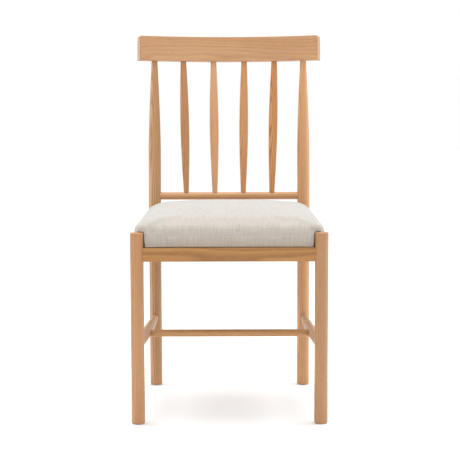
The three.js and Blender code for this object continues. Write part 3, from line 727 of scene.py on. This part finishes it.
def seat_cushion(material):
    """The cover over its foam: the simulated form on an even mesh, a groove, a tuck and a turned hem."""
    rings = pad_rings()
    normals = outline_normals(pad_outline(0, 0, 0))
    weave = weave_coordinates(rings, normals)
    places = [Vector((p.x, p.y, z)) for z, _, ring in rings for p in ring]
    legs = [leg_point(side, front, 0).xy for side in (LEFT, RIGHT) for front in (True, False)]
    clear_of_legs = [smoothstep(LEG_RADIUS, 3 * LEG_RADIUS, min((place.xy - leg).length for leg in legs))
                     for place in places]
    form = simulate_pad()
    tree = BVHTree.FromObject(form, bpy.context.evaluated_depsgraph_get())
    for i, place in enumerate(places):
        near = tree.find_nearest(place)[0]
        near_board = 1 - smoothstep(PAD_BOTTOM + BOARD_HOLD, PAD_BOTTOM + BOARD_FREE, place.z)
        near_leg = 1 - smoothstep(LEG_HOLD, LEG_FREE, clear_of_legs[i])
        if place.y < PAD_CENTRE.y:
            near_leg *= 1 - smoothstep(FRONT_LEG_TOP, FRONT_LEG_TOP + LEG_HOLD_HEIGHT, place.z)
        places[i] = place.lerp(near, 1 - max(near_board, near_leg))
    bpy.data.objects.remove(form)

    # A groove where the cover is pulled down over the board's edge, and slow dents in the filling.
    for i, place in enumerate(places):
        height = rings[i // len(normals)][0] - PAD_BOTTOM
        groove = GROOVE_DEPTH * max(0, 1 - abs(height - GROOVE_HEIGHT) / GROOVE_REACH)
        tuck = TUCK_DEPTH * max(0, 1 - height / TUCK_HEIGHT) ** 2
        tuck *= lerp(TUCK_BY_LEG, 1, clear_of_legs[i])
        place -= normals[i % len(normals)] * (groove + tuck)
        dent = noise.noise(place * DENT_SCALE) * DENT_DEPTH
        place.z += dent * smoothstep(DENT_START, DENT_FULL, height)

    under = [(PAD_BOTTOM, HEM), (PAD_BOTTOM + FABRIC, HEM),
             (PAD_BOTTOM + FABRIC, BOARD_ROOM), (BOARD_TOP, BOARD_ROOM)]
    below = []
    for z, inset in reversed(under):
        outline = pad_outline(inset, PAD_NOTCH + inset, PAD_NOTCH + inset)
        below += [Vector((p.x, p.y, z)) for p in outline]
    faces = loft_faces(len(under) + len(rings), len(normals), close_ends=False)
    cushion = make_object("seat_cushion", below + places, faces, sharp=radians(70))
    store_vectors(cushion.data, "weave", [(v.x, v.y, 0) for v in below] + weave)
    subdivide = cushion.modifiers.new("subdivide", "SUBSURF")
    subdivide.levels = subdivide.render_levels = 1
    apply_modifiers(cushion)
    close_holes(cushion.data)
    finish_piece(cushion, material, "linen", "seat_cover", "seat_foam")


def weave_coordinates(rings, normals):
    """Each vertex's place on the flat cloth: its place in plan on top, then unrolled down the sides."""
    on_top = next(i for i, ring in enumerate(rings) if ring[0] >= PAD_ROUND_TOP - 0.01 * MM)
    extra = [0.0] * len(rings)
    for i in range(on_top - 1, -1, -1):
        drop = rings[i + 1][0] - rings[i][0]
        spread = rings[i + 1][1] - rings[i][1]
        extra[i] = extra[i + 1] + sqrt(drop ** 2 + spread ** 2) - spread
    coordinates = []
    for (_, _, ring), unrolled in zip(rings, extra):
        for point, normal in zip(ring, normals):
            coordinates.append((point.x + normal.x * unrolled, point.y + normal.y * unrolled, 0))
    return coordinates


LINEN_LIGHT = (0.57, 0.525, 0.475)
LINEN_DARK = (0.44, 0.39, 0.33)
LINEN_FLECK = (0.36, 0.30, 0.24)
LINEN_SHADE = (0.34, 0.285, 0.23)
LINEN_PAINTED_LOW_SHADE = (0.80, 0.72, 0.65)  # painted shade: multiplies the colour, darker and warmer, low on the pad's sides
YARN = 1.15 * MM
YARN_DRIFT = 0.5 * MM  # how far a yarn strays from its straight line


def linen(name):
    """Oatmeal plain weave: two sets of uneven yarns that pass over and under each other."""
    n = Nodes(name)
    weave = n.attribute("weave")
    split = n.add("SeparateXYZ")
    wander = n.noise(n.place(weave, (60, 60, 1)), detail=1.0)
    drift = n.math("MULTIPLY_ADD", wander, YARN_DRIFT, -YARN_DRIFT / 2)
    n.plug(split, Vector=weave)
    across = n.math("DIVIDE", n.math("ADD", split.outputs["X"], drift), YARN)
    along = n.math("DIVIDE", n.math("ADD", split.outputs["Y"], drift), YARN)
    warp = n.math("ABSOLUTE", n.math("SINE", n.math("MULTIPLY", across, pi)))
    weft = n.math("ABSOLUTE", n.math("SINE", n.math("MULTIPLY", along, pi)))
    parity = n.math("ADD", n.math("FLOOR", across), n.math("FLOOR", along))
    over = n.math("PINGPONG", parity, 1.0)
    under = n.math("SUBTRACT", 1.0, over)
    cross = n.math("ADD", n.math("MULTIPLY", warp, over), n.math("MULTIPLY", weft, under))

    # Slubs: thick, paler or darker stretches of single yarns, both ways.
    warp_slub = n.noise(n.place(weave, (620, 26, 1)), detail=2.0, roughness=0.6)
    weft_slub = n.noise(n.place(weave, (26, 620, 1), (3, 7, 0)), detail=2.0, roughness=0.6)
    slub = n.math("ADD", n.math("MULTIPLY", warp_slub, 0.62), n.math("MULTIPLY", weft_slub, 0.38))
    flecks = n.noise(n.place(weave, (900, 900, 1), (5, 1, 0)), detail=2.0)
    cloud = n.noise(n.place(weave, (9, 9, 1)), detail=2.0)

    base = n.mix(n.ramp(slub, (0.38, 0.0), (0.6, 1.0)), LINEN_DARK, LINEN_LIGHT)
    base = n.mix(n.math("MULTIPLY", n.ramp(flecks, (0.3, 1.0), (0.45, 0.0)), 0.3), base, LINEN_FLECK)
    base = n.mix(n.math("MULTIPLY", n.math("SUBTRACT", 1.0, cross), 0.28), base, LINEN_SHADE)
    base = n.mix(n.math("MULTIPLY", cloud, 0.12), base, LINEN_DARK)

    # Painted shade: low on its sides the cover's colour is made darker and warmer, most at its lower edge.
    height_split = n.add("SeparateXYZ")
    n.plug(height_split, Vector=n.add("TexCoord").outputs["Object"])
    rise = n.math("DIVIDE", n.math("SUBTRACT", height_split.outputs["Z"], PAD_BOTTOM), TUCK_HEIGHT)
    colour = n.mix(n.ramp(rise, (0.0, 1.0), (0.8, 0.0)), base, LINEN_PAINTED_LOW_SHADE, "MULTIPLY")
    height = n.math("MULTIPLY_ADD", slub, 0.9, cross)
    n.shader.inputs["Sheen Weight"].default_value = 0.6
    n.shader.inputs["Sheen Roughness"].default_value = 0.5
    n.shader.inputs["Sheen Tint"].default_value = (0.86, 0.94, 1.0, 1)
    n.shader.inputs["Specular IOR Level"].default_value = 0.2
    roughness = n.math("MULTIPLY_ADD", flecks, 0.1, 0.85)
    return n.finish(colour, roughness, n.bump(height, 0.35 * MM, 0.7))


# ---- everything else that the frame holds ------------------------------------------------------------
def plain_wood(name, light, dark, stretch):
    """Unfinished beech or plywood, in the piece's own place."""
    n = Nodes(name)
    place = n.add("TexCoord").outputs["Object"]
    grain = n.noise(n.place(place, stretch), detail=4.0, roughness=0.6)
    flecks = n.noise(n.place(place, (700, 700, 700)), detail=1.0)
    base = n.mix(n.ramp(grain, (0.35, 0.0), (0.65, 1.0)), dark, light)
    colour = n.mix(n.math("MULTIPLY", n.ramp(flecks, (0.6, 0.0), (0.7, 1.0)), 0.4), base, dark)
    return n.finish(colour, n.math("MULTIPLY_ADD", grain, 0.15, 0.55), n.bump(grain, 0.1 * MM, 0.4))


def speckled(name, light, dark, scale, roughness, metallic=0.0):
    """A fine speckled surface: zinc plate, moulded nylon or non-woven cloth."""
    n = Nodes(name)
    place = n.add("TexCoord").outputs["Object"]
    speckle = n.noise(n.place(place, (scale, scale, scale)), detail=3.0, roughness=0.65)
    wear = n.noise(n.place(place, (60, 60, 60)), detail=2.0)
    colour = n.mix(n.math("MULTIPLY", n.math("ADD", speckle, wear), 0.5), dark, light)
    n.shader.inputs["Metallic"].default_value = metallic
    return n.finish(colour, n.math("MULTIPLY_ADD", wear, 0.2, roughness), n.bump(speckle, 0.02 * MM, 0.6))


def dust_cover(material):
    """A thin black cloth stapled under the pad, sagging a little and rippled along its edges."""
    low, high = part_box("dust_cover")
    columns, rows = 72, 70
    screws = [middle(f"seat_screw_{end}_{side}") for end in ("front", "rear") for side in ("left", "right")]
    z = high.z - DUST_THICKNESS / 2
    bm = bmesh.new()
    grid = []
    for i in range(columns + 1):
        line = []
        for j in range(rows + 1):
            u, v = i / columns, j / rows
            y = lerp(low.y + DUST_MARGIN, high.y - DUST_MARGIN, v)
            half = lerp(DUST_FRONT, DUST_REAR, (y - FRONT_Y) / (REAR_Y - FRONT_Y))
            x = lerp(-half, half, u)
            sag = DUST_SAG * (sin(pi * u) * sin(pi * v)) ** DUST_SAG_POWER
            ripple = DUST_RIPPLE * noise.noise(Vector((x, y, 0)) * RIPPLE_SCALE)
            line.append(bm.verts.new((x, y, z - sag - max(0, ripple))))
        grid.append(line)
    for i in range(columns):
        for j in range(rows):
            centre = (grid[i][j].co + grid[i + 1][j + 1].co) / 2
            if all((centre.xy - s.xy).length > SCREW_ROOM for s in screws):
                bm.faces.new((grid[i][j], grid[i][j + 1], grid[i + 1][j + 1], grid[i + 1][j]))
    mesh = bpy.data.meshes.new("dust_cover_cloth")
    bm.to_mesh(mesh)
    bm.free()
    mesh.shade_smooth()
    cloth = linked("dust_cover_cloth", mesh)
    solid = cloth.modifiers.new("thickness", "SOLIDIFY")
    solid.thickness, solid.offset = DUST_THICKNESS, 0
    finish_piece(cloth, material, "cambric", "dust_cover")


# ---- the studio ---------------------------------------------------------------------------------------
CAMERA_LENS, CAMERA_SENSOR = 121.5, 36  # millimetres
CAMERA_REACH = 100
CAMERA_PLACE = (2.0 * MM, FRONT_Y - 3.550, 0.9056)
CAMERA_PITCH, CAMERA_ROLL = radians(7.22), radians(-0.15)  # downwards, and clockwise
FLOOR_SIZE = 60
PAPER_DARK, PAPER_LIGHT = (0.97, 0.97, 0.97), (0.99, 0.99, 0.99)
WORLD_LIGHT = 1.02
LIT_PLACE = Vector((0, 0, 0.45))  # the softboxes are aimed at the chair's middle
SOFTBOXES = [  # name, place, (width, height), power
    ("softbox_top", (0.0, 0.3, 3.0), (2.6, 2.0), 55),
    ("softbox_left", (-2.6, 0.5, 1.3), (1.2, 2.4), 18),
    ("softbox_right", (2.6, 0.5, 1.3), (1.2, 2.4), 22),
]


def studio():
    n = Nodes("studio_paper")
    place = n.add("TexCoord").outputs["Object"]
    tooth = n.noise(n.place(place, (300, 300, 300)), detail=2.0)
    paper = n.mix(tooth, PAPER_DARK, PAPER_LIGHT)
    n.finish(paper, 0.9, n.bump(tooth, 0.05 * MM, 0.2))
    bpy.ops.mesh.primitive_plane_add(size=FLOOR_SIZE)
    floor = bpy.context.object
    floor.name = "floor"
    floor.data.materials.append(n.material)

    world = bpy.data.worlds.new("studio")
    bpy.context.scene.world = world
    world.use_nodes = True
    background = world.node_tree.nodes["Background"]
    background.inputs["Color"].default_value = (1, 1, 1, 1)
    background.inputs["Strength"].default_value = WORLD_LIGHT
    for name, place, size, power in SOFTBOXES:
        lamp = bpy.data.lights.new(name, "AREA")
        lamp.shape, lamp.size, lamp.size_y, lamp.energy = "RECTANGLE", *size, power
        box = linked(name, lamp)
        box.location = place
        box.rotation_euler = (LIT_PLACE - Vector(place)).to_track_quat("-Z", "Y").to_euler()
    bpy.context.scene.view_settings.view_transform = "Standard"


def camera():
    data = bpy.data.cameras.new("camera")
    data.lens, data.sensor_width, data.clip_end = CAMERA_LENS, CAMERA_SENSOR, CAMERA_REACH
    view = linked("camera", data)
    view.location = CAMERA_PLACE
    view.rotation_euler = (pi / 2 - CAMERA_PITCH, 0, 0)
    view.rotation_euler.rotate_axis("Z", CAMERA_ROLL)
    bpy.context.scene.camera = view


# ---- make it all ------------------------------------------------------------------------------------
camera()
studio()

WOODS = {  # node: (seed, tint, pith beside the piece, figure)
    "front_leg_left": (1, (0.86, 0.78, 0.70), (0.05, 0.05), 0.45),
    "front_leg_right": (2, (0.80, 0.76, 0.67), (0.06, 0.03), 0.5),
    "rear_post_left": (3, (0.89, 0.87, 0.81), (0.05, 0.06), 0.9),
    "rear_post_right": (4, (1.05, 0.99, 0.89), (0.07, 0.05), 0.6),
    "front_rail": (5, (0.73, 0.61, 0.32), (0.08, 0.01), 0.75),
    "rear_rail": (6, (0.84, 0.79, 0.71), (0.07, 0.02), 0.4),
    "side_rail_left": (7, (0.84, 0.79, 0.71), (0.06, 0.03), 0.4),
    "side_rail_right": (8, (0.84, 0.78, 0.70), (0.06, 0.02), 0.4),
    "side_stretcher_left": (9, (0.95, 0.95, 0.98), (0.04, 0.04), 0.35),
    "side_stretcher_right": (10, (0.89, 0.87, 0.86), (0.05, 0.03), 0.35),
    "cross_stretcher": (11, (0.90, 0.84, 0.72), (0.05, 0.05), 0.35),
    "lower_back_rail": (12, (1.03, 0.98, 0.90), (0.05, 0.04), 0.4),
    "crest_rail": (13, (0.91, 0.90, 0.90), (0.09, 0.02), 0.3),
    "spindle_1": (14, (0.82, 0.69, 0.52), (0.04, 0.04), 0.6),
    "spindle_2": (15, (1.05, 1.04, 1.01), (0.05, 0.04), 0.35),
    "spindle_3": (16, (0.93, 0.79, 0.62), (0.05, 0.05), 0.5),
    "spindle_4": (17, (1.04, 0.85, 0.56), (0.02, 0.03), 1.2),
}
WANDERS = {"spindle_4": 1.6, "crest_rail": 0.6}  # how much the grain strays, where it isn't the usual
USUAL_WANDER = 0.35
woods = {node: oak("oak_" + node, *recipe, WANDERS.get(node, USUAL_WANDER))
         for node, recipe in WOODS.items()}

for side in (LEFT, RIGHT):
    name = SIDE_NAMES[side]
    front_leg(side, woods["front_leg_" + name])
    rear_post(side, woods["rear_post_" + name])
    side_stretcher(side, woods["side_stretcher_" + name])

RAIL_Z = (RAIL_LOW + RAIL_TOP) / 2
corners = [leg_point(LEFT, True, RAIL_Z), leg_point(RIGHT, True, RAIL_Z),
           leg_point(RIGHT, False, RAIL_Z), leg_point(LEFT, False, RAIL_Z)]
for i, node in enumerate(("front_rail", "side_rail_right", "rear_rail", "side_rail_left")):
    seat_rail(node, corners[i], corners[(i + 1) % 4], woods[node])
cross_stretcher(woods["cross_stretcher"])
lower_back_rail(woods["lower_back_rail"])
crest_rail(woods["crest_rail"])
for node, (bottom_x, top_x) in SPINDLE_X.items():
    spindle(node, bottom_x, top_x, woods[node])

seat_cushion(linen("linen"))
dust_cover(speckled("cambric", (0.03, 0.03, 0.034), (0.012, 0.012, 0.014), 1500, 0.8))

cad_looks = {
    "beech": plain_wood("beech", (0.72, 0.50, 0.31), (0.56, 0.35, 0.19), (60, 60, 400)),
    "plywood": plain_wood("plywood", (0.62, 0.44, 0.26), (0.42, 0.27, 0.14), (20, 20, 900)),
    "steel": speckled("zinc_plate", (0.72, 0.72, 0.70), (0.50, 0.52, 0.56), 2500, 0.3, metallic=1.0),
    "nylon": speckled("nylon", (0.80, 0.80, 0.77), (0.72, 0.72, 0.69), 1800, 0.45),
}
for part in frame["record"]["subparts"]:
    if part["material_slot"] in cad_looks:
        mesh = frame["nodes"][part["node"]].data
        mesh.materials.clear()
        mesh.materials.append(cad_looks[part["material_slot"]])
